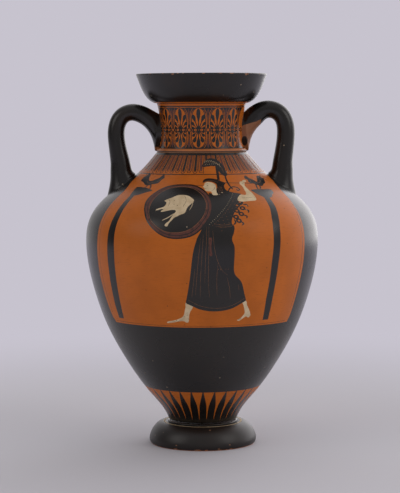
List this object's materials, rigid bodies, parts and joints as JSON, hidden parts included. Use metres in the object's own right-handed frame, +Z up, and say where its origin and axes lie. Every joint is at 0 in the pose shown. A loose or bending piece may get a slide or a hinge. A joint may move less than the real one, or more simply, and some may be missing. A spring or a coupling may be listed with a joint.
{
  "type": "amphora",
  "caption": "Wheel-thrown fired-clay amphora with an echinus mouth, two arched handles, a painted panel and a thick disc foot.",
  "frame": {"origin": "centre of the resting ring under the foot, on the vase's axis", "axes": "+Z up along the axis of the vase; the handles stand at -X and +X; the front faces -Y"},
  "size_m": [0.2692, 0.2692, 0.43],
  "materials": {
    "black_gloss": "fired black slip with a soft gloss",
    "painted_body": "black slip with an orange reserved panel and added white and purple",
    "painted_neck": "orange clay with a painted floral chain",
    "reserved_clay": "smoothed orange clay, satin"
  },
  "bodies": {
    "root": {"foot": "black_gloss", "foot_fillet": "black_gloss", "lower_body": "painted_body", "upper_body": "painted_body", "neck_ring": "reserved_clay", "neck": "painted_neck", "mouth": "black_gloss", "handle_left": "black_gloss", "handle_left_neck_collar": "black_gloss", "handle_left_shoulder_collar": "black_gloss", "handle_right": "black_gloss", "handle_right_neck_collar": "black_gloss", "handle_right_shoulder_collar": "black_gloss"}
  },
  "joints": []
}
